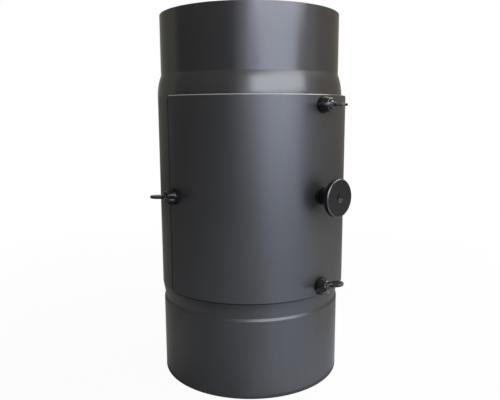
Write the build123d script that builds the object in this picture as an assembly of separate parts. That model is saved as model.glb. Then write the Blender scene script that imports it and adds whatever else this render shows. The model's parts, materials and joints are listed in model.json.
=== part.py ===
from build123d import *

import math
import os

# Stove pipe particulate filter for a flue of 150 mm: a formed steel tube with a socket below, a spigot
# above and a drum between them. A half-shell cover with four wing nuts closes the drum's service opening.
# A cartridge of pleated wire mesh stands in the drum, and a knob turns the bypass flap inside it.
# Millimetres, +Z up along the flue, origin at the middle of the bottom rim, knob and cover towards -Y.

# Flue body
wall = 2.0
socket_bore = 150.0
spigot_od = 149.6
drum_od = 155.8
groove_od = 151.8
socket_depth = 62.6
stop_step = 1.8
stop_land = 1.2
groove_land = 1.2
lower_shoulder = 11.5
drum_length = 159.2
upper_shoulder = 16.5
spigot_length = 48.0

# Cover and its gasket
cover_thickness = 2.0
cover_half_angle = 94.6
cover_end_margin = 0.65
cover_corner = 3.0
cover_edge_round = 0.8
gasket_thickness = 1.5
gasket_inset = 0.6
window_corner = 6.0

# Studs, washers and wing nuts
stud_d = 6.0
side_stud_angle = 90.0
top_stud_edge = 7.8
bottom_stud_edge = 8.95
side_stud_rise = 0.85
stud_window_distance = 6.3
stud_hole_play = 0.6
stud_end = 1.5
stud_chamfer = 0.9
washer_od = 13.2
washer_thickness = 1.2
hub_base_d = 12.5
hub_top_d = 9.6
hub_height = 7.0
wing_span = 29.0
nut_height = 13.5
wing_ear_r = 5.0
wing_root_r = 2.6
wing_root_rise = 1.0
wing_root_thickness = 3.0
wing_tip_thickness = 1.8
bottom_nut_turn = 6.0

# Filter cartridge
cage_bore = 100.0
cage_wall = 1.2
cage_columns = 12
cage_rib = 7.0
cage_band = 15.0
cage_rim = 9.0
pleat_count = 36
pleat_depth = 8.5
pleat_thickness = 1.0
pleat_gap = 0.3
plate_thickness = 1.5
cartridge_play = 1.0
cartridge_headroom = 1.5
seat_width = 14.0
seat_thickness = 2.0
seat_gasket_thickness = 2.0
seat_gasket_inset = 0.8

# Bypass flap, its spindle and the knob
spindle_d = 8.0
spindle_rise = 1.55
flap_play = 1.7
flap_thickness = 1.5
flap_screw_d = 4.0
flap_screw_head_d = 7.0
flap_screw_head = 2.2
flap_screw_spacing = 50.0
bearing_od = 12.0
bearing_flange_d = 18.0
bearing_flange = 2.0
bearing_inset = 0.9
stop_collar_d = 18.0
stop_collar_length = 4.5
stop_pin_d = 3.0
stop_pin_reach = 8.6
spindle_tail = 1.5
bush_od = 14.0
bush_stand = 2.5
bush_inside = 3.0
spring_od = 13.0
spring_thickness = 0.5
spring_height = 1.0
knob_d = 29.3
knob_thickness = 4.5
knob_reach = 17.8
knob_edge = 0.7
neck_d = 13.0
neck_flare = 1.2
recess_d = 7.2
recess_angle = 90.0
pilot_d = 2.4
pilot_depth = 1.5
knob_bore_depth = 8.0
set_screw_d = 3.0
set_screw_from_end = 4.0
set_screw_flat = 1.0

# Clearances
fit_gap = 0.05
press_gap = 0.02
stop_gap = 0.1

# Heights and radii that follow from the sizes above
groove_z = socket_depth + stop_land + stop_step + groove_land
drum_z = groove_z + lower_shoulder
drum_top_z = drum_z + drum_length
spigot_z = drum_top_z + upper_shoulder
top_z = spigot_z + spigot_length
drum_r = drum_od / 2
drum_inner_r = drum_r - wall
spigot_r = spigot_od / 2
groove_r = groove_od / 2
socket_r = socket_bore / 2
cover_inner_r = drum_r + gasket_thickness
cover_r = cover_inner_r + cover_thickness
cover_z = drum_z + cover_end_margin
cover_top_z = drum_top_z - cover_end_margin
middle_z = (cover_z + cover_top_z) / 2
top_stud_z = cover_top_z - top_stud_edge
bottom_stud_z = cover_z + bottom_stud_edge
side_stud_z = middle_z + side_stud_rise
window_half_angle = side_stud_angle - math.degrees(stud_window_distance / drum_r)
window_z = bottom_stud_z + stud_window_distance
window_top_z = top_stud_z - stud_window_distance
nut_seat_r = cover_r + washer_thickness
spindle_z = middle_z + spindle_rise
cage_r = cage_bore / 2
cage_outer_r = cage_r + cage_wall
mesh_inner_r = cage_outer_r + pleat_gap
mesh_outer_r = mesh_inner_r + pleat_depth
cartridge_r = drum_inner_r * math.sin(math.radians(window_half_angle)) - cartridge_play
cage_z = window_z + plate_thickness
cage_top_z = window_top_z - cartridge_headroom - plate_thickness
seat_z = window_z - seat_gasket_thickness - seat_thickness
flap_r = cage_r - flap_play
spindle_r = spindle_d / 2
spindle_hole_r = spindle_r + fit_gap
bearing_in = flap_r + bearing_inset
bearing_out = mesh_outer_r + pleat_gap
collar_start = bearing_out + bearing_flange
collar_end = collar_start + stop_collar_length
bush_end = cover_r + bush_stand
neck_end = bush_end + spring_height + fit_gap
knob_face = cover_r + knob_reach
knob_back = knob_face - knob_thickness

# Studs by name: angle from the front, height, turn of the nut's wings
studs = {
    "top": (0.0, top_stud_z, 0.0),
    "bottom": (0.0, bottom_stud_z, bottom_nut_turn),
    "left": (-side_stud_angle, side_stud_z, 0.0),
    "right": (side_stud_angle, side_stud_z, 0.0),
}


def outward(angle, z):
    """Plane on the flue's axis whose normal points outward, turned from the front towards +X."""
    turn = math.radians(angle)
    along = (math.sin(turn), -math.cos(turn), 0)
    across = (math.cos(turn), math.sin(turn), 0)
    return Plane(origin=(0, 0, z), x_dir=across, z_dir=along)


def rod(diameter, start, end):
    """Cylinder along local Z from start to end."""
    return Pos(0, 0, start) * Cylinder(
        diameter / 2, end - start, align=(Align.CENTER, Align.CENTER, Align.MIN)
    )


def ring(outer_r, inner_r, low, high):
    """Flat ring or tube about the flue's axis."""
    return rod(2 * outer_r, low, high) - rod(2 * inner_r, low, high)


def curved_panel(inner_r, outer_r, low, high, half_angle, corner):
    """Panel bent round the flue's axis, centred on the front, with rounded corners."""
    middle = Pos((inner_r + outer_r) / 2, (low + high) / 2)
    section = Plane.XZ * middle * Rectangle(outer_r - inner_r, high - low)
    panel = Rot(0, 0, -90 - half_angle) * revolve(section, Axis.Z, revolution_arc=2 * half_angle)
    corners = panel.edges().filter_by(GeomType.LINE).filter_by(Axis.Z, reverse=True)
    return fillet(corners, corner)


def make_flue_body():
    """One formed tube: socket, stop groove, drum and spigot, with the service opening cut out of the drum."""

    def side(offset, jog):
        """One face of the wall from the bottom rim to the top, offset inward from the outside."""
        low_r = socket_r + wall - offset
        return [
            Line((low_r, 0), (low_r, jog)),
            Line((low_r, jog), (groove_r - offset, jog + stop_step)),
            Line((groove_r - offset, jog + stop_step), (groove_r - offset, groove_z)),
            Line((groove_r - offset, groove_z), (drum_r - offset, drum_z)),
            Line((drum_r - offset, drum_z), (drum_r - offset, drum_top_z)),
            TangentArc((drum_r - offset, drum_top_z), (spigot_r - offset, spigot_z), tangent=(0, 1)),
            Line((spigot_r - offset, spigot_z), (spigot_r - offset, top_z)),
        ]

    outside = side(0, socket_depth + stop_land)
    inside = side(wall, socket_depth)
    rims = [
        Line((socket_r, 0), (socket_r + wall, 0)),
        Line((spigot_r - wall, top_z), (spigot_r, top_z)),
    ]
    section = Plane.XZ * make_face(outside + inside + rims)
    tube = revolve(section, Axis.Z)
    window = curved_panel(
        drum_inner_r - wall, drum_r + wall, window_z, window_top_z, window_half_angle, window_corner
    )
    return tube - window


def make_seat_ring():
    """Ledge welded inside the drum, which carries the cartridge."""
    outer_r = drum_inner_r - press_gap
    return ring(outer_r, drum_inner_r - seat_width, seat_z, seat_z + seat_thickness)


def make_seat_gasket():
    """Flat fibre ring on the ledge."""
    low = seat_z + seat_thickness
    inner_r = drum_inner_r - seat_width + seat_gasket_inset
    return ring(cartridge_r, inner_r, low, low + seat_gasket_thickness)


def make_end_plate(low):
    """Cartridge end plate with the gas way in its middle."""
    return ring(cartridge_r, cage_r, low, low + plate_thickness)


def make_filter_cage():
    """Support tube with an upper and a lower row of windows and holes for the two bearings."""
    tube = ring(cage_outer_r, cage_r, cage_z, cage_top_z)
    pitch = 2 * math.pi * cage_outer_r / cage_columns
    rows = [
        (cage_z + cage_rim, spindle_z - cage_band),
        (spindle_z + cage_band, cage_top_z - cage_rim),
    ]
    for low, high in rows:
        for column in range(cage_columns):
            angle = (column + 0.5) * 360 / cage_columns
            opening = Box(pitch - cage_rib, high - low, 2 * pleat_depth)
            tube -= outward(angle, (low + high) / 2) * Pos(0, 0, cage_r) * opening
    return tube - outward(0, spindle_z) * rod(bearing_od + 2 * fit_gap, -mesh_outer_r, mesh_outer_r)


def make_filter_mesh():
    """Pleated wire mesh sleeve round the cage, pierced for the bearings."""

    def star(inner_r, outer_r):
        """Outline of the pleats, from valley to crest and back."""
        points = []
        for step in range(2 * pleat_count):
            radius = outer_r if step % 2 else inner_r
            angle = math.pi * step / pleat_count
            points.append((radius * math.cos(angle), radius * math.sin(angle)))
        return make_face(Polyline(*points, close=True))

    outline = star(mesh_inner_r + pleat_thickness, mesh_outer_r)
    outline -= star(mesh_inner_r, mesh_outer_r - pleat_thickness)
    sleeve = Pos(0, 0, cage_z) * extrude(outline, cage_top_z - cage_z)
    hole = rod(bearing_od + 2 * pleat_gap, -2 * mesh_outer_r, 2 * mesh_outer_r)
    return sleeve - outward(0, spindle_z) * hole


def make_bearing(turn, with_stop):
    """Flanged bush for the spindle. The rear one has a collar, open for a quarter turn of the stop pin."""
    bush = rod(bearing_od, bearing_in, bearing_out + bearing_flange)
    bush += rod(bearing_flange_d, bearing_out, bearing_out + bearing_flange)
    if with_stop:
        bush += rod(stop_collar_d, collar_start, collar_end)
        corner = stop_pin_d / 2 + stop_gap
        swept = Box(
            stop_collar_d, stop_collar_d, stop_collar_length, align=(Align.MAX, Align.MIN, Align.MIN)
        )
        bush -= Pos(corner, -corner, collar_start) * swept
    bush -= rod(2 * spindle_hole_r, 0, 2 * collar_end)
    return outward(turn, spindle_z) * bush


def make_spindle():
    """Shaft with a milled seat for the flap, a flat for the set screw and a cross hole for the stop pin."""
    shaft = rod(spindle_d, -collar_end - spindle_tail, neck_end + knob_bore_depth)
    seat_half = flap_r + press_gap
    seat = Box(spindle_d, spindle_d, 2 * seat_half, align=(Align.CENTER, Align.MIN, Align.CENTER))
    shaft -= Pos(0, -flap_thickness / 2, 0) * seat
    flat = Box(spindle_d, spindle_d, 2 * set_screw_from_end, align=(Align.CENTER, Align.MAX, Align.MIN))
    shaft -= Pos(0, set_screw_flat - spindle_r, neck_end + press_gap) * flat
    shaft -= pin_place() * rod(stop_pin_d + 2 * press_gap, -spindle_r / 2, spindle_d)
    for side in (-1, 1):
        shaft -= flap_screw_place(side) * rod(flap_screw_d + 2 * press_gap, -spindle_d, spindle_d)
    return outward(0, spindle_z) * shaft


def pin_place():
    """Middle of the stop pin's hole, with local Z along the pin."""
    return Pos(0, 0, -(collar_start + collar_end) / 2) * Rot(0, 90, 0)


def flap_screw_place(side):
    """Top of the flap at one screw, with local Z along the screw."""
    return Pos(0, flap_thickness / 2, side * flap_screw_spacing / 2) * Rot(-90, 0, 0)


def make_bypass_flap():
    """Butterfly disc, flat on the spindle's milled seat."""
    disc = Rot(90, 0, 0) * Cylinder(flap_r, flap_thickness)
    for side in (-1, 1):
        disc -= flap_screw_place(side) * rod(flap_screw_d + 2 * press_gap, -spindle_d, spindle_d)
    return outward(0, spindle_z) * disc


def make_flap_screws():
    """Two pan head screws through the flap into the spindle."""
    screws = []
    for side in (-1, 1):
        head = rod(flap_screw_head_d, 0, flap_screw_head)
        rim = head.edges().filter_by(GeomType.CIRCLE).sort_by(Axis.Z)[-1]
        head = chamfer(rim, flap_screw_head / 3)
        screw = head + rod(flap_screw_d, -flap_thickness / 2 - spindle_r, 0)
        screws.append(outward(0, spindle_z) * flap_screw_place(side) * screw)
    return Compound(children=screws)


def make_stop_pin():
    """Cross pin at the spindle's inner end, which stands out on one side."""
    return outward(0, spindle_z) * pin_place() * rod(stop_pin_d, -spindle_r / 2, stop_pin_reach)


def make_cover_gasket():
    """Flat fibre frame round the service opening, with a hole for each stud."""
    half_angle = cover_half_angle - math.degrees(gasket_inset / cover_inner_r)
    inner_half_angle = window_half_angle + math.degrees(gasket_inset / drum_r)
    frame = curved_panel(
        drum_r, cover_inner_r, cover_z + gasket_inset, cover_top_z - gasket_inset, half_angle, cover_corner
    )
    frame -= curved_panel(
        drum_r - gasket_thickness,
        cover_inner_r + gasket_thickness,
        window_z - gasket_inset,
        window_top_z + gasket_inset,
        inner_half_angle,
        window_corner,
    )
    for angle, height, _ in studs.values():
        frame -= outward(angle, height) * rod(stud_d + stud_hole_play, drum_r / 2, 2 * drum_r)
    return frame


def make_cover():
    """Half-shell plate. The side studs' holes are slots open to the edge, so that it comes off forwards."""
    plate = curved_panel(cover_inner_r, cover_r, cover_z, cover_top_z, cover_half_angle, cover_corner)
    outer_face = max(plate.faces(), key=lambda face: face.area)
    plate = fillet(outer_face.edges(), cover_edge_round)
    hole_d = stud_d + stud_hole_play
    for angle, height, _ in studs.values():
        place = outward(angle, height)
        plate -= place * rod(hole_d, drum_r / 2, 2 * drum_r)
        if angle:
            edge_side = Align.MIN if angle > 0 else Align.MAX
            slot = Box(drum_r, hole_d, drum_r, align=(edge_side, Align.CENTER, Align.MIN))
            plate -= place * Pos(0, 0, drum_r / 2) * slot
    return plate - outward(0, spindle_z) * rod(bush_od + 2 * press_gap, drum_r / 2, 2 * drum_r)


def make_cover_bush():
    """Sleeve welded into the cover, which the spindle runs through."""
    bush = rod(bush_od, cover_inner_r - bush_inside, bush_end)
    return outward(0, spindle_z) * (bush - rod(2 * spindle_hole_r, 0, 2 * bush_end))


def make_spring_washer():
    """Dished washer between the bush and the knob's neck."""
    inner_r = spindle_hole_r + fit_gap
    outer_r = spring_od / 2
    low = bush_end
    high = bush_end + spring_height - spring_thickness
    outline = Polyline(
        (outer_r, low),
        (outer_r, low + spring_thickness),
        (inner_r, high + spring_thickness),
        (inner_r, high),
        close=True,
    )
    section = Plane.XZ * make_face(outline)
    return outward(0, spindle_z) * revolve(section, Axis.Z)


def make_knob():
    """Turned disc on a neck, with a chamfered face, a conical centre recess and a bore for the spindle."""
    neck_r = neck_d / 2
    rim_r = knob_d / 2
    profile = Polyline(
        (0, neck_end),
        (neck_r, neck_end),
        (neck_r, knob_back - neck_flare),
        (neck_r + neck_flare, knob_back),
        (rim_r - knob_edge, knob_back),
        (rim_r, knob_back + knob_edge),
        (rim_r, knob_face - knob_edge),
        (rim_r - knob_edge, knob_face),
        (0, knob_face),
        close=True,
    )
    knob = revolve(Plane.XZ * make_face(profile), Axis.Z)
    recess_depth = recess_d / 2 / math.tan(math.radians(recess_angle / 2))
    tip = knob_face - recess_depth
    knob -= Pos(0, 0, tip) * Cone(
        0, recess_d / 2, recess_depth, align=(Align.CENTER, Align.CENTER, Align.MIN)
    )
    knob -= rod(pilot_d, tip - pilot_depth, knob_face)
    knob -= rod(spindle_d + 2 * press_gap, neck_end, neck_end + knob_bore_depth)
    knob -= set_screw_place() * rod(set_screw_d + 2 * press_gap, 0, neck_d)
    return outward(0, spindle_z) * knob


def set_screw_place():
    """Spindle's axis at the set screw, with local Z along the screw, on the underside of the neck."""
    return Pos(0, 0, neck_end + set_screw_from_end) * Rot(90, 0, 0)


def make_knob_set_screw():
    """Set screw in the neck, down on the spindle's flat."""
    screw = rod(set_screw_d, spindle_r - set_screw_flat, neck_d / 2)
    return outward(0, spindle_z) * set_screw_place() * screw


def make_weld_studs():
    """Threaded studs welded on the drum round the service opening."""
    drum = rod(drum_od, 0, top_z)
    shanks = []
    for angle, height, _ in studs.values():
        shank = rod(stud_d, drum_r - wall, nut_seat_r + hub_height + stud_end)
        tip = shank.edges().filter_by(GeomType.CIRCLE).sort_by(Axis.Z)[-1]
        shank = chamfer(tip, stud_chamfer)
        shanks.append(outward(angle, height) * shank - drum)
    return Compound(children=shanks)


def make_stud_washers():
    """Plain washers between the cover and the wing nuts."""
    washers = []
    for angle, height, _ in studs.values():
        washer = rod(washer_od, cover_r, nut_seat_r) - rod(stud_d + stud_hole_play, 0, 2 * cover_r)
        washers.append(outward(angle, height) * washer)
    return Compound(children=washers)


def make_wing_nut(angle, height, turn):
    """Forged nut with a tapered hub and two rounded wings that thin out towards their tips."""
    half_span = wing_span / 2
    hub = Cone(
        hub_base_d / 2, hub_top_d / 2, hub_height, align=(Align.CENTER, Align.CENTER, Align.MIN)
    )
    root = Pos(wing_root_r, wing_root_r + wing_root_rise) * Circle(wing_root_r)
    ear = Pos(half_span - wing_ear_r, nut_height - wing_ear_r) * Circle(wing_ear_r)
    outline = make_hull(root.edges() + ear.edges())
    taper = Polyline(
        (0, -wing_root_thickness / 2),
        (0, wing_root_thickness / 2),
        (half_span, wing_tip_thickness / 2),
        (half_span, -wing_tip_thickness / 2),
        close=True,
    )
    wing = extrude(Plane.XZ * outline, wing_root_thickness, both=True)
    wing &= extrude(make_face(taper), nut_height)
    nut = hub + wing + mirror(wing, Plane.YZ)
    nut -= rod(stud_d + 2 * fit_gap, -hub_height, nut_height)
    return outward(angle, height) * Pos(0, 0, nut_seat_r + fit_gap) * Rot(0, 0, turn) * nut


pieces = {
    "flue_body": make_flue_body(),
    "seat_ring": make_seat_ring(),
    "seat_gasket": make_seat_gasket(),
    "cartridge_base": make_end_plate(window_z),
    "cartridge_top": make_end_plate(cage_top_z),
    "filter_cage": make_filter_cage(),
    "filter_mesh": make_filter_mesh(),
    "front_bearing": make_bearing(0, False),
    "rear_bearing": make_bearing(180, True),
    "spindle": make_spindle(),
    "bypass_flap": make_bypass_flap(),
    "flap_screws": make_flap_screws(),
    "stop_pin": make_stop_pin(),
    "cover_gasket": make_cover_gasket(),
    "cover": make_cover(),
    "cover_bush": make_cover_bush(),
    "weld_studs": make_weld_studs(),
    "stud_washers": make_stud_washers(),
    "spring_washer": make_spring_washer(),
    "knob": make_knob(),
    "knob_set_screw": make_knob_set_screw(),
}
for name, (angle, height, turn) in studs.items():
    pieces["wing_nut_" + name] = make_wing_nut(angle, height, turn)

os.makedirs("parts", exist_ok=True)
for name, piece in pieces.items():
    export_step(piece, os.path.join("parts", name + ".step"))
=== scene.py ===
import json
import math

import bmesh
import bpy
from mathutils import Matrix, Vector


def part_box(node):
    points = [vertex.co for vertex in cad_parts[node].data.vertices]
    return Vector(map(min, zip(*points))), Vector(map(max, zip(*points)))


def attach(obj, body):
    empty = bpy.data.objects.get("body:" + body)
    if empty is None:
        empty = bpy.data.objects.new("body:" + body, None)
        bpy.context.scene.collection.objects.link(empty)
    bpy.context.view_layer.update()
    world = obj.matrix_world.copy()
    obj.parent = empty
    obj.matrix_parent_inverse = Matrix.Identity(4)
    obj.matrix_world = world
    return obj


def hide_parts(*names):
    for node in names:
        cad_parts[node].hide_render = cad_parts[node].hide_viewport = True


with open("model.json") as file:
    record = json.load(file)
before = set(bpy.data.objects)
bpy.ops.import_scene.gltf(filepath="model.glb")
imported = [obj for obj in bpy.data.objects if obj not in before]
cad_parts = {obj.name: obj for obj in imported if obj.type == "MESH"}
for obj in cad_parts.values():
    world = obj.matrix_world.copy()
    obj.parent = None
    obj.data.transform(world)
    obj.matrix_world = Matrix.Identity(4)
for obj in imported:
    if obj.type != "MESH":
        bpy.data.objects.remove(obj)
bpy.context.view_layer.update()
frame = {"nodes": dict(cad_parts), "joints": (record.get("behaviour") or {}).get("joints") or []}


# Flue body. One tube of 2 mm sheet steel, rolled, seam welded at the back and pressed out to socket, drum
# and spigot. The outside has satin charcoal heat-proof paint, sprayed on and baked. The inside is bare
# rolled steel with its scale.
paint_colour = (0.062, 0.062, 0.063, 1)
paint_thin = (0.084, 0.084, 0.085, 1)
paint_metallic = 0.8
scale_colour = (0.10, 0.095, 0.09, 1)
scale_dark = (0.055, 0.053, 0.052, 1)
scale_stretch = 0.05
# painted shade: a near black for the drum below the cover and for the cover's lower and side edges
painted_shade_grey = (0.012, 0.012, 0.012, 1)
grain_height = 0.00001
tone_low, tone_high = 0.2, 0.8

drum_radius = 0.0779
drum_head = 0.234
shoulder_foot = 0.239
drum_roughness = 0.37
spigot_roughness = 0.24
satin_swing = 0.02
lean_foot, lean_head = 0.2362, 0.2452
lean_depth = 0.0005
inward_start, inward_full = -0.002, -0.02
seam_edge, seam_core = 0.0022, 0.0008
seam_dull = 0.1

cover_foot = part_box("cover")[0].z
# Reach of the painted shade below the cover: its depth and strength, its upper edge, and its spread right to
# left and back to front
shade_fall = 0.009
shade_share = 0.45
shade_end, shade_full = 0.003, 0.001
shade_right, shade_left = 0.01, -0.065
shade_back, shade_front = 0.01, -0.01


def node(tree, kind, inputs=(), **settings):
    """New shader node with its settings, and its inputs set to values or linked to sockets."""
    made = tree.nodes.new("ShaderNode" + kind)
    for key, value in settings.items():
        setattr(made, key, value)
    for key, value in dict(inputs).items():
        if isinstance(value, bpy.types.NodeSocket):
            tree.links.new(value, made.inputs[key])
        else:
            made.inputs[key].default_value = value
    return made


def calc(tree, operation, *values):
    """Result of a Math node."""
    return node(tree, "Math", enumerate(values), operation=operation).outputs[0]


def measure(tree, operation, *vectors):
    """Number from a Vector Math node, such as a length or a dot product."""
    return node(tree, "VectorMath", enumerate(vectors), operation=operation).outputs["Value"]


def drawn_out(tree, where, scale):
    """Point with scaled axes, which draws spots out along the axis with the low number."""
    return node(tree, "Mapping", {"Vector": where, "Scale": scale}).outputs["Vector"]


def noise(tree, where, scale, detail=2.0):
    """Soft random value between 0 and 1, with so many spots to the metre."""
    return node(tree, "TexNoise", {"Vector": where, "Scale": scale, "Detail": detail}).outputs[0]


def spread(tree, value, low, high, to_low=0.0, to_high=1.0, ease="LINEAR"):
    """Value carried from one span to another, held at its ends."""
    span = {"Value": value, "From Min": low, "From Max": high, "To Min": to_low, "To Max": to_high}
    return node(tree, "MapRange", span, interpolation_type=ease).outputs["Result"]


def vary(tree, tone, middle, swing):
    """Value that swings about its middle with a tone."""
    return spread(tree, tone, tone_low, tone_high, middle - swing, middle + swing)


def tint(tree, share, first, second):
    """Colour between two colours or colour sockets."""
    pair = {0: share, 6: first, 7: second}
    return node(tree, "Mix", pair, data_type="RGBA").outputs[2]


def effect(name, inputs, outputs):
    """Empty node group for an effect on a surface: its tree, what comes in and the node for what goes out."""
    tree = bpy.data.node_groups.new(name, "ShaderNodeTree")
    for label, kind in inputs.items():
        tree.interface.new_socket(label, in_out="INPUT", socket_type="NodeSocket" + kind)
    for label, kind in outputs.items():
        tree.interface.new_socket(label, in_out="OUTPUT", socket_type="NodeSocket" + kind)
    given = tree.nodes.new("NodeGroupInput").outputs
    result = tree.nodes.new("NodeGroupOutput")
    return tree, given, result


def place(tree, group, **inputs):
    """Effect placed in a material: its outputs."""
    return node(tree, "Group", inputs, node_tree=group).outputs


def feed(tree, target, **values):
    """Links values to the sockets of a shader or of an effect's result."""
    for label, socket in values.items():
        tree.links.new(socket, target.inputs[label.replace("_", " ")])


def new_finish(name, **sockets):
    """New material: itself, its tree, its shader and the point on the piece, in metres."""
    finish = bpy.data.materials.new(name)
    finish.use_nodes = True
    tree = finish.node_tree
    shader = tree.nodes["Principled BSDF"]
    for label, value in sockets.items():
        shader.inputs[label.replace("_", " ")].default_value = value
    return finish, tree, shader, node(tree, "TexCoord").outputs["Object"]


def relief(tree, shader, height, distance, strength=1.0):
    """Fine relief on the shader, from a height between 0 and 1, on top of what it has."""
    bump = node(tree, "Bump", {"Height": height, "Distance": distance, "Strength": strength})
    for link in shader.inputs["Normal"].links:
        tree.links.new(link.from_socket, bump.inputs["Normal"])
    feed(tree, shader, Normal=bump.outputs["Normal"])


def dress(finish, *names):
    """Gives CAD pieces their finish."""
    for name in names:
        materials = frame["nodes"][name].data.materials
        materials.clear()
        materials.append(finish)


# Sprayed grain, for the paint: fine grains, upright passes of the spray gun and a soft cloud of thickness
fine_share, pass_share, cloud_share = 0.3, 0.3, 0.4
grain, given, result = effect("sprayed_grain", {"Where": "Vector"}, {"Tone": "Float", "Height": "Float"})
fine = noise(grain, given["Where"], scale=1500.0)
cloud = noise(grain, given["Where"], scale=30.0, detail=3.0)
passes = noise(grain, drawn_out(grain, given["Where"], (1.0, 1.0, 0.03)), scale=320.0)
soft = calc(grain, "MULTIPLY_ADD", passes, pass_share, calc(grain, "MULTIPLY", cloud, cloud_share))
tone = calc(grain, "MULTIPLY_ADD", fine, fine_share, soft)
feed(grain, result, Tone=tone, Height=fine)

# Round the flue: a point's radius, its angle as a length on the drum, its height, and where it looks inward
measures = {"Radius": "Float", "Along": "Float", "Height": "Float", "Inward": "Float"}
round_flue, given, result = effect("round_flue", {"Where": "Vector"}, measures)
axes = node(round_flue, "SeparateXYZ", {"Vector": given["Where"]}).outputs
level = node(round_flue, "CombineXYZ", {"X": axes["X"], "Y": axes["Y"]}).outputs["Vector"]
radius = measure(round_flue, "LENGTH", level)
along = calc(round_flue, "MULTIPLY", calc(round_flue, "ARCTAN2", axes["X"], axes["Y"]), drum_radius)
facing = node(round_flue, "TexCoord").outputs["Normal"]
inward = spread(round_flue, measure(round_flue, "DOT_PRODUCT", facing, level), inward_start, inward_full)
feed(round_flue, result, Radius=radius, Along=along, Height=axes["Z"], Inward=inward)


def metallic_paint(name):
    """Heat-proof paint with metallic pigment: its material, tree, shader, point and sprayed grain."""
    finish, tree, shader, where = new_finish(
        name, Metallic=paint_metallic, Specular_IOR_Level=0.3, Specular_Tint=(0.5, 0.5, 0.5, 1)
    )
    spray = place(tree, grain, Where=where)
    relief(tree, shader, spray["Height"], grain_height)
    return finish, tree, shader, where, spray


flue_paint, tree, shader, where, spray = metallic_paint("flue_paint")
turn = place(tree, round_flue, Where=where)
seam = spread(tree, calc(tree, "ABSOLUTE", turn["Along"]), seam_edge, seam_core)
painted = tint(tree, calc(tree, "MAXIMUM", spray["Tone"], seam), paint_colour, paint_thin)

# Painted shade on the drum just below the cover, darkest at the cover's edge and more of it towards the left
axes = node(tree, "SeparateXYZ", {"Vector": where}).outputs
shade_fade = spread(tree, turn["Height"], cover_foot - shade_fall, cover_foot, 0.0, shade_share)
under = spread(tree, turn["Height"], cover_foot + shade_end, cover_foot + shade_full)
leftward = spread(tree, axes["X"], shade_right, shade_left)
frontward = spread(tree, axes["Y"], shade_back, shade_front)
painted_shade_below_cover = calc(
    tree, "MULTIPLY", calc(tree, "MULTIPLY", shade_fade, under), calc(tree, "MULTIPLY", leftward, frontward)
)
outside = tint(tree, painted_shade_below_cover, painted, painted_shade_grey)

# Scale inside, drawn out upright, and the paint's gloss, which is higher on the shoulder and the spigot
upright = calc(tree, "MULTIPLY", turn["Height"], scale_stretch)
rolled = node(tree, "CombineXYZ", {"X": turn["Along"], "Z": upright}).outputs["Vector"]
inside = tint(tree, noise(tree, rolled, scale=600.0, detail=3.0), scale_dark, scale_colour)
pressed = spread(tree, turn["Height"], drum_head, shoulder_foot, drum_roughness, spigot_roughness)
satin = calc(tree, "ADD", pressed, vary(tree, spray["Tone"], 0.0, satin_swing))
feed(
    tree,
    shader,
    Base_Color=tint(tree, turn["Inward"], outside, inside),
    Roughness=calc(tree, "MULTIPLY_ADD", seam, seam_dull, satin),
)

# The normals lean at the foot of the shoulder, as if the sheet ran straighter into the drum than it does
lean = spread(tree, turn["Height"], lean_foot, lean_head, 1.0, 0.0, ease="SMOOTHSTEP")
relief(tree, shader, lean, lean_depth)
dress(flue_paint, "flue_body")


# Seat ring. A flat ring of 2 mm steel, welded inside the drum as the ledge that carries the cartridge.
# Bare rolled steel, as are the cartridge's end plates.
steel_colour = (0.40, 0.39, 0.37, 1)
steel_dark = (0.28, 0.27, 0.26, 1)
steel_swing = 0.06


def plain_steel(name, lengthwise, roughness, dark=steel_dark, pale=steel_colour):
    """Bare steel with fine lines from rolling or drawing, which run along the axis with the low number."""
    finish, tree, shader, where = new_finish(name, Metallic=1.0)
    lines = noise(tree, drawn_out(tree, where, lengthwise), scale=900.0, detail=3.0)
    gloss = vary(tree, lines, roughness, steel_swing)
    feed(tree, shader, Base_Color=tint(tree, lines, dark, pale), Roughness=gloss)
    relief(tree, shader, lines, grain_height)
    return finish


sheet_steel = plain_steel("sheet_steel", lengthwise=(0.03, 1.0, 1.0), roughness=0.42)
dress(sheet_steel, "seat_ring", "cartridge_base", "cartridge_top")


# Seat gasket and cover gasket. Flat gaskets cut from pressed graphite fibre, which seal the cartridge on
# its ledge and the cover on the drum. Near black, darker than the fibre itself, as painted shade in the gap
# under the cover's edge; dull, with short fibres pressed into them.
# painted shade: the fibre's dark tone is set below graphite's own grey, for the gap under the cover
fibre_dark_and_shade = (0.015, 0.015, 0.014, 1)
fibre_pale = (0.07, 0.069, 0.067, 1)
fibre_count = 1300.0
fibre_start, fibre_full = 0.5, 0.75
fibre, tree, shader, where = new_finish("pressed_fibre", Roughness=0.9, Specular_IOR_Level=0.2)
long_way = noise(tree, drawn_out(tree, where, (0.25, 1.0, 1.0)), fibre_count)
cross_way = noise(tree, drawn_out(tree, where, (1.0, 0.25, 0.6)), fibre_count)
flecks = calc(tree, "MAXIMUM", long_way, cross_way)
shown = spread(tree, flecks, fibre_start, fibre_full)
feed(tree, shader, Base_Color=tint(tree, shown, fibre_dark_and_shade, fibre_pale))
relief(tree, shader, flecks, distance=0.00015, strength=0.6)
dress(fibre, "seat_gasket", "cover_gasket")


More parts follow.
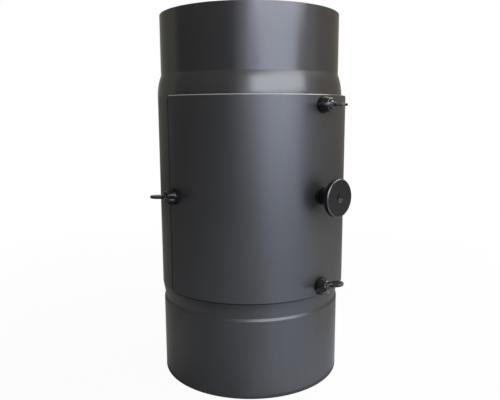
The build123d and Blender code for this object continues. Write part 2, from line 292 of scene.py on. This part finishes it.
# Filter cage and pleated mesh. The cage is a punched tube of bare steel sheet that holds the mesh up, and
# the mesh is a sleeve of woven wire, folded into pleats and held between the end plates.
wire_pitch = 0.0014
wire_bright = (0.46, 0.45, 0.43, 1)
wire_gap = (0.02, 0.02, 0.02, 1)
wire_start, wire_full = -0.2, 0.5
dress(plain_steel("cage_steel", lengthwise=(1.0, 1.0, 0.04), roughness=0.38), "filter_cage")
wire, tree, shader, where = new_finish("woven_wire", Metallic=1.0, Roughness=0.35)
turn = place(tree, round_flue, Where=where)
across = calc(tree, "SINE", calc(tree, "MULTIPLY", turn["Radius"], math.tau / wire_pitch))
upward = calc(tree, "SINE", calc(tree, "MULTIPLY", turn["Height"], math.tau / wire_pitch))
wires = calc(tree, "MAXIMUM", across, upward)
shown = spread(tree, wires, wire_start, wire_full)
feed(tree, shader, Base_Color=tint(tree, shown, wire_gap, wire_bright))
relief(tree, shader, wires, distance=0.0002, strength=0.7)
dress(wire, "filter_mesh")


# Bearings, spindle, flap and stop pin. All bare steel: the spindle runs in the two flanged bushes of the
# cartridge, the flap lies on its milled seat, and a pressed pin stops its turn.
turned_steel = plain_steel("turned_steel", lengthwise=(1.0, 0.05, 1.0), roughness=0.3)
dress(turned_steel, "front_bearing", "rear_bearing", "spindle")
dress(plain_steel("flap_steel", lengthwise=(0.04, 1.0, 1.0), roughness=0.36), "bypass_flap")
screw_steel = plain_steel("screw_steel", lengthwise=(1.0, 1.0, 0.2), roughness=0.25)
dress(screw_steel, "stop_pin")


# Flap screws. Two pan head screws of bare steel with a driver slot, through the flap into the spindle.
# The slot is milled across each head.
slot_length = 0.012
slot_width = 0.0011
slot_depth = 0.0012
slot_over = 0.001
slot_turns = {-0.025: -15, 0.025: 65}  # place of each screw along the spindle, and the angle of its slot
weld_gap = 1e-6


def as_mesh(form, name):
    """New mesh from a form that is then let go."""
    mesh = bpy.data.meshes.new(name)
    form.to_mesh(mesh)
    form.free()
    return mesh


def solid_copy(name):
    """New mesh of a CAD piece, joined along its sharp edges."""
    form = bmesh.new()
    form.from_mesh(frame["nodes"][name].data)
    bmesh.ops.remove_doubles(form, verts=form.verts, dist=weld_gap)
    return as_mesh(form, name)


def worked(mesh, *steps):
    """New mesh after modifiers, each given as its kind and its settings."""
    blank = bpy.data.objects.new("blank", mesh)
    bpy.context.scene.collection.objects.link(blank)
    for kind, settings in steps:
        step = blank.modifiers.new(kind.lower(), kind)
        for key, value in settings.items():
            setattr(step, key, value)
    ready = blank.evaluated_get(bpy.context.evaluated_depsgraph_get())
    made = bpy.data.meshes.new_from_object(ready)
    bpy.data.objects.remove(blank)
    return made


def carved(mesh, cutter):
    """New mesh with a cutter's form taken out of it."""
    tool = bpy.data.objects.new("tool", cutter)
    bpy.context.scene.collection.objects.link(tool)
    made = worked(mesh, ("BOOLEAN", {"operation": "DIFFERENCE", "object": tool, "solver": "EXACT"}))
    bpy.data.objects.remove(tool)
    return made


def add_piece(name, mesh, finish, body, stands_for):
    """Puts a finished mesh into the scene on its body, in place of a CAD piece."""
    mesh.materials.clear()
    mesh.materials.append(finish)
    piece = bpy.data.objects.new(name, mesh)
    bpy.context.scene.collection.objects.link(piece)
    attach(piece, body)
    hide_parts(stands_for)


head_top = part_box("flap_screws")[1].z
slots = bmesh.new()
for offset, angle in slot_turns.items():
    centre = Matrix.Translation((0, offset, head_top + (slot_over - slot_depth) / 2))
    turned = Matrix.Rotation(math.radians(angle), 4, "Z")
    size = Matrix.Diagonal((slot_length, slot_width, slot_depth + slot_over, 1))
    bmesh.ops.create_cube(slots, size=1.0, matrix=centre @ turned @ size)
slotted = carved(solid_copy("flap_screws"), as_mesh(slots, "driver_slots"))
add_piece("slotted_flap_screws", slotted, screw_steel, "bypass", "flap_screws")


# Cover. A half shell of 2 mm steel sheet, bent to the drum, with rounded edges and the same baked paint.
# Four wing nuts press it on its gasket over the service opening. Its upper edge, where it is gripped, is
# worn to the steel, less so towards the right, and this lighter steel also stands in as a painted highlight.
# Its lower and side edges are darkened with painted shade.
worn_edge_highlight_steel = (0.46, 0.45, 0.44, 1)
worn_highlight_metallic = 0.3
worn_highlight_dull = 0.3
worn_highlight_start, worn_highlight_full = 0.0006, 0.0005
highlight_left, highlight_right = -0.075, 0.012
foot_start, foot_full = 0.0012, 0.0007
foot_shade_right, foot_shade_left = 0.02, -0.02
side_start, side_full = 0.0022, 0.0012
low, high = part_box("cover")
cover_paint, tree, shader, where, spray = metallic_paint("cover_paint")
axes = node(tree, "SeparateXYZ", {"Vector": where}).outputs
# worn steel on the upper edge, fading out to the right, which also stands in as a painted highlight along the
# edge
top_edge = spread(tree, axes["Z"], high.z - worn_highlight_start, high.z - worn_highlight_full)
worn_highlight = calc(tree, "MULTIPLY", top_edge, spread(tree, axes["X"], highlight_left, highlight_right, 1.0, 0.0))
foot_edge = spread(tree, axes["Z"], low.z + foot_start, low.z + foot_full)
painted_foot_shade = calc(tree, "MULTIPLY", foot_edge, spread(tree, axes["X"], foot_shade_right, foot_shade_left))
side_edge = spread(tree, axes["Y"], high.y - side_start, high.y - side_full)
# painted shade on the cover's lower edge, stronger to the left, and on its side edges
painted_edge_shade = calc(tree, "MAXIMUM", painted_foot_shade, side_edge)
painted = tint(tree, painted_edge_shade, tint(tree, spray["Tone"], paint_colour, paint_thin), painted_shade_grey)
satin = vary(tree, spray["Tone"], drum_roughness, satin_swing)
feed(
    tree,
    shader,
    Base_Color=tint(tree, worn_highlight, painted, worn_edge_highlight_steel),
    Metallic=spread(tree, worn_highlight, 0.0, 1.0, paint_metallic, worn_highlight_metallic),
    Roughness=calc(tree, "MULTIPLY_ADD", worn_highlight, worn_highlight_dull, satin),
)
dress(cover_paint, "cover")


# Cover bush and washers. The bush is a short sleeve welded into the cover for the spindle, and the washers
# are punched from sheet. Both are steel with a glossy black coat.
coat_colour = (0.005, 0.005, 0.0052, 1)
coat_thin = (0.009, 0.009, 0.009, 1)
coat_swing = 0.04


def black_coat(name, roughness, gloss):
    """Glossy black coat with a soft cloud, as on small steel parts."""
    finish, tree, shader, where = new_finish(name, Specular_IOR_Level=gloss)
    spray = place(tree, grain, Where=where)
    coat = tint(tree, spray["Tone"], coat_colour, coat_thin)
    feed(tree, shader, Base_Color=coat, Roughness=vary(tree, spray["Tone"], roughness, coat_swing))
    relief(tree, shader, spray["Height"], grain_height)
    return finish


black_steel = black_coat("black_coated_steel", roughness=0.32, gloss=0.28)
dress(black_steel, "cover_bush", "stud_washers")


# Weld studs. Four threaded studs of 6 mm, welded on the drum round the service opening and coated with it.
# They go through the cover, and their chamfered ends stand out of the nuts that turn on them.
thread_major = 0.003
thread_minor = 0.00245
thread_pitch = 0.001
thread_root, thread_flank = 0.12, 0.7
thread_steps = 8
thread_sides = 32
thread_crease = math.radians(50)
stud_foot = 0.0776
stud_tip = 0.0911
tip_chamfer = 0.0009
stud_sides = ("top", "bottom", "left", "right")
joint_of = {joint["child"]: joint for joint in frame["joints"]}


def out_of_flue(joint):
    """Place on the flue's axis with local Z outward, along a joint's axis."""
    outward = Vector(joint["axis"])
    across = Vector((-outward.y, outward.x, 0))
    columns = Matrix((across, (0, 0, 1), outward)).transposed()
    return Matrix.Translation(joint["pos_m"]) @ columns.to_4x4()


def thread_radius(along, turn):
    """Radius of the thread at a length along the stud and a share of a turn."""
    phase = (along / thread_pitch - turn) % 1.0
    crest = min(1.0, max(0.0, (abs(2 * phase - 1) - thread_root) / thread_flank))
    radius = thread_minor + (thread_major - thread_minor) * crest
    return min(radius, thread_major - max(0.0, along - stud_tip + tip_chamfer))


studs = bmesh.new()
rows = round((stud_tip - stud_foot) / thread_pitch * thread_steps)
for stud_side in stud_sides:
    spot = out_of_flue(joint_of["nut_" + stud_side])
    rings = []
    for row in range(rows + 1):
        along = stud_foot + (stud_tip - stud_foot) * row / rows
        ring = []
        for side in range(thread_sides):
            turn = side / thread_sides
            radius = thread_radius(along, turn)
            point = (radius * math.cos(math.tau * turn), radius * math.sin(math.tau * turn), along)
            ring.append(studs.verts.new(spot @ Vector(point)))
        rings.append(ring)
    for low_ring, high_ring in zip(rings, rings[1:]):
        for side in range(thread_sides):
            after = (side + 1) % thread_sides
            studs.faces.new((low_ring[side], low_ring[after], high_ring[after], high_ring[side]))
    studs.faces.new(rings[-1])
    studs.faces.new(rings[0][::-1])
stud_mesh = as_mesh(studs, "threaded_studs")
stud_mesh.shade_smooth()
stud_mesh.set_sharp_from_angle(angle=thread_crease)
add_piece("threaded_studs", stud_mesh, black_steel, "flue", "weld_studs")


# Wing nuts. Drop forged steel with a black coat: a tapered hub with a threaded bore, and two rounded wings
# that blend into it. They are turned by hand.
forge_grid = 0.0003
forge_softness = 0.5
forge_blows = 14
forged_black = black_coat("forged_black_steel", roughness=0.26, gloss=0.42)
for side in stud_sides:
    nut = worked(
        solid_copy("wing_nut_" + side),
        ("REMESH", {"mode": "VOXEL", "voxel_size": forge_grid}),
        ("SMOOTH", {"factor": forge_softness, "iterations": forge_blows}),
    )
    nut.shade_smooth()
    add_piece("forged_nut_" + side, nut, forged_black, "nut_" + side, "wing_nut_" + side)


# Knob and the spring washer under it. The knob is turned from steel bar and coated black, with fine rings
# from the tool on its face and its rim worn to the steel on the left, where it is gripped, which also stands
# in as a painted highlight on the chamfer. A dished washer of blued spring steel keeps it where it is put.
worn_rim_highlight_steel = (0.08, 0.08, 0.08, 1)
blued_dark = (0.012, 0.013, 0.016, 1)
blued_pale = (0.025, 0.027, 0.034, 1)
ring_height = 0.000012
rim_inner, rim_outer = 0.01395, 0.01462
rim_blur = 0.00005
highlight_side = (-1, 0, 0.1)
highlight_reach = 0.011
turned_black = black_coat("turned_black_steel", roughness=0.3, gloss=0.2)
tree = turned_black.node_tree
shader = tree.nodes["Principled BSDF"]
where = node(tree, "TexCoord").outputs["Object"]
knob_middle = joint_of["bypass"]["pos_m"]
out = node(tree, "VectorMath", {0: where, 1: knob_middle}, operation="SUBTRACT").outputs["Vector"]
flat = node(tree, "VectorMath", {0: out, 1: (1, 0, 1)}, operation="MULTIPLY").outputs["Vector"]
from_axis = measure(tree, "LENGTH", flat)
rings = node(tree, "CombineXYZ", {"X": from_axis}).outputs["Vector"]
relief(tree, shader, noise(tree, rings, scale=2400.0, detail=3.0), ring_height)
inner = spread(tree, from_axis, rim_inner, rim_inner + rim_blur)
outer = spread(tree, from_axis, rim_outer, rim_outer - rim_blur)
highlit_side = spread(tree, measure(tree, "DOT_PRODUCT", out, highlight_side), 0.0, highlight_reach)
# worn steel on the rim's left, which also stands in as a painted highlight on the chamfer
worn_highlight = calc(tree, "MULTIPLY", calc(tree, "MULTIPLY", inner, outer), highlit_side)
coat = shader.inputs["Base Color"].links[0].from_socket
feed(tree, shader, Base_Color=tint(tree, worn_highlight, coat, worn_rim_highlight_steel), Metallic=worn_highlight)
dress(turned_black, "knob")
spring_steel = plain_steel(
    "spring_steel", lengthwise=(1.0, 0.05, 1.0), roughness=0.3, dark=blued_dark, pale=blued_pale
)
dress(spring_steel, "spring_washer")


# Knob set screw. A short steel screw with a hexagon socket, in the underside of the knob's neck.
# It is turned down on the spindle's flat.
socket_width = 0.0015
socket_depth = 0.0014
low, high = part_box("knob_set_screw")
socket = bmesh.new()
bmesh.ops.create_cone(
    socket,
    cap_ends=True,
    segments=6,
    radius1=socket_width / math.sqrt(3),
    radius2=socket_width / math.sqrt(3),
    depth=2 * socket_depth,
    matrix=Matrix.Translation(((low.x + high.x) / 2, (low.y + high.y) / 2, low.z)),
)
socketed = carved(solid_copy("knob_set_screw"), as_mesh(socket, "hexagon"))
add_piece("socket_set_screw", socketed, spring_steel, "bypass", "knob_set_screw")


# Studio. A pale floor that fades into a white background, and soft boxes that light the object at a plain
# level. Cards that only gloss sees give the paint darker and brighter walls and ground to mirror.
# The camera stands at the photo's angle, and cards and boxes are placed by their angle from it.
scene = bpy.context.scene
scene.view_settings.view_transform = "Standard"
white = (1, 1, 1, 1)
world_fill = 0.1
floor_grey = (0.42, 0.42, 0.42, 1)
floor_half = 4.0
floor_drop = 0.0002
floor_near, floor_far = 0.2, 0.7
floor_near_white = 0.96
floor_mirror = 0.1
camera_azimuth = -43.0
card_columns = 24
wall = 1.5
split = 0.62
ground = 0.001
low_near, low_far = (0.1, ground), (0.8, ground)
foot_ground = 0.002
foot_near = (0.078, foot_ground)
middle = Vector((0, 0, 0.15))
lamp_distance = 0.9


def ray_masks(tree):
    """Masks of the camera's own rays and of the rays that gloss or glass sends on."""
    rays = node(tree, "LightPath").outputs
    return rays["Is Camera Ray"], calc(tree, "ADD", rays["Is Glossy Ray"], rays["Is Transmission Ray"])


def glow_over(tree, share, under, colour):
    """Ends a material in a mix of a shader and a glow."""
    glow = node(tree, "Emission", {"Color": colour, "Strength": 1.0}).outputs["Emission"]
    mixed = node(tree, "MixShader", {0: share, 1: under, 2: glow}).outputs["Shader"]
    feed(tree, tree.nodes["Material Output"], Surface=mixed)


def grey_card(name, first, last, foot, head, colour, fade=0):
    """Curved card from its first to its last angle, with the radius and height of its two edges.

    It fades out at its ends over so many of its columns.
    """
    form = bmesh.new()
    cover_share = form.verts.layers.float.new("cover_share")
    feet = []
    heads = []
    for column in range(card_columns + 1):
        turn = math.radians(camera_azimuth + first + (last - first) * column / card_columns)
        x, y = math.sin(turn), -math.cos(turn)
        feet.append(form.verts.new((foot[0] * x, foot[0] * y, foot[1])))
        heads.append(form.verts.new((head[0] * x, head[0] * y, head[1])))
        full = min(1.0, column / fade, (card_columns - column) / fade) if fade else 1.0
        feet[-1][cover_share] = heads[-1][cover_share] = full
    for column in range(card_columns):
        form.faces.new((feet[column], feet[column + 1], heads[column + 1], heads[column]))
    mesh = as_mesh(form, name)
    finish = bpy.data.materials.new(name)
    finish.use_nodes = True
    tree = finish.node_tree
    clear = node(tree, "BsdfTransparent").outputs["BSDF"]
    share = node(tree, "Attribute", attribute_name="cover_share").outputs["Fac"]
    glow_over(tree, share, clear, colour)
    mesh.materials.append(finish)
    card = bpy.data.objects.new(name, mesh)
    card.visible_camera = card.visible_diffuse = card.visible_shadow = False
    scene.collection.objects.link(card)


def soft_box(name, azimuth, elevation, size, watts, colour, distance=lamp_distance):
    """Rectangular soft light that looks at the middle of the object."""
    light = bpy.data.lights.new(name, "AREA")
    light.shape = "RECTANGLE"
    light.size, light.size_y = size
    light.energy = watts
    light.color = colour
    lamp = bpy.data.objects.new(name, light)
    turn = math.radians(camera_azimuth + azimuth)
    rise = math.radians(elevation)
    away = Vector((math.sin(turn) * math.cos(rise), -math.cos(turn) * math.cos(rise), math.sin(rise)))
    lamp.location = middle + distance * away
    lamp.rotation_euler = away.to_track_quat("Z", "Y").to_euler()
    scene.collection.objects.link(lamp)


floor_mesh = bpy.data.meshes.new("floor")
corners = [(x * floor_half, y * floor_half, 0) for x, y in ((-1, -1), (1, -1), (1, 1), (-1, 1))]
floor_mesh.from_pydata(corners, [], [(0, 1, 2, 3)])
floor = bpy.data.objects.new("floor", floor_mesh)
floor.location.z = -floor_drop
scene.collection.objects.link(floor)
floor_white, tree, shader, where = new_finish("floor_white", Base_Color=floor_grey, Roughness=0.8)
seen, mirrored = ray_masks(tree)
fading = spread(tree, measure(tree, "LENGTH", where), floor_near, floor_far, floor_near_white, 1.0)
share = calc(tree, "MULTIPLY_ADD", mirrored, floor_mirror, calc(tree, "MULTIPLY", seen, fading))
glow_over(tree, share, shader.outputs["BSDF"], white)
floor_mesh.materials.append(floor_white)

world = bpy.data.worlds.new("studio")
world.use_nodes = True
scene.world = world
tree = world.node_tree
background = tree.nodes["Background"]
background.inputs["Color"].default_value = white
seen, mirrored = ray_masks(tree)
feed(tree, background, Strength=spread(tree, calc(tree, "ADD", seen, mirrored), 0.0, 1.0, world_fill, 1.0))

grey_card("card_left", -100, -15, foot=(wall, ground), head=(wall, split), colour=(0.22, 0.215, 0.2, 1))
grey_card("card_left_high", -100, -15, foot=(wall, split), head=(wall, 2.2), colour=(0.34, 0.335, 0.31, 1))
grey_card("card_rim", -168, -100, foot=(wall, ground), head=(wall, 1.2), colour=(0.6, 0.585, 0.51, 1))
grey_card("card_right", 88, 165, foot=(wall, ground), head=(wall, 0.9), colour=(0.66, 0.57, 0.42, 1))
grey_card("card_low_left", -178, -108, foot=low_near, head=low_far, colour=(0.62, 0.6, 0.53, 1))
grey_card("card_low", 18, 72, foot=low_near, head=low_far, colour=(1.3, 1.4, 1.75, 1))
grey_card("card_low_right", 72, 125, foot=low_near, head=low_far, colour=(1.15, 1.1, 1.05, 1))
grey_card("card_foot_left", -160, -45, foot_near, (0.2, foot_ground), colour=(0.8, 0.78, 0.72, 1), fade=11)
grey_card("card_foot_right", -10, 130, foot_near, (0.15, foot_ground), colour=(1.35, 1.4, 1.6, 1), fade=7)

soft_box("key", azimuth=36, elevation=31, size=(1.02, 0.36), watts=7.0, colour=(0.88, 0.92, 1.0))
soft_box("key_low", azimuth=34, elevation=7, size=(0.76, 0.38), watts=3.9, colour=(0.72, 0.8, 1.0))
soft_box("strip", azimuth=3, elevation=16, size=(0.2, 0.38), watts=0.5, colour=(0.65, 0.72, 1.0))
soft_box("overhead", azimuth=130, elevation=45, size=(0.36, 0.32), watts=5.5, colour=(1.0, 0.96, 0.9))
soft_box(
    "side_top", azimuth=95, elevation=58, size=(0.3, 0.3), watts=2.4, colour=(1.0, 0.98, 0.95), distance=0.55
)

photo_width = 500
focal_pixels = 538.37
sensor_width = 36.0
camera_distance = 0.47173
camera_height = 0.22277
camera_tilt = 0.1595
camera_roll = 0.0045
lens = bpy.data.cameras.new("camera")
lens.sensor_width = sensor_width
lens.lens = focal_pixels * sensor_width / photo_width
camera = bpy.data.objects.new("camera", lens)
turn = math.radians(camera_azimuth)
spot = Vector((camera_distance * math.sin(turn), -camera_distance * math.cos(turn), camera_height))
look = Matrix.Rotation(turn, 4, "Z") @ Matrix.Rotation(math.pi / 2 - camera_tilt, 4, "X")
camera.matrix_world = Matrix.Translation(spot) @ look @ Matrix.Rotation(-camera_roll, 4, "Z")
scene.collection.objects.link(camera)
scene.camera = camera
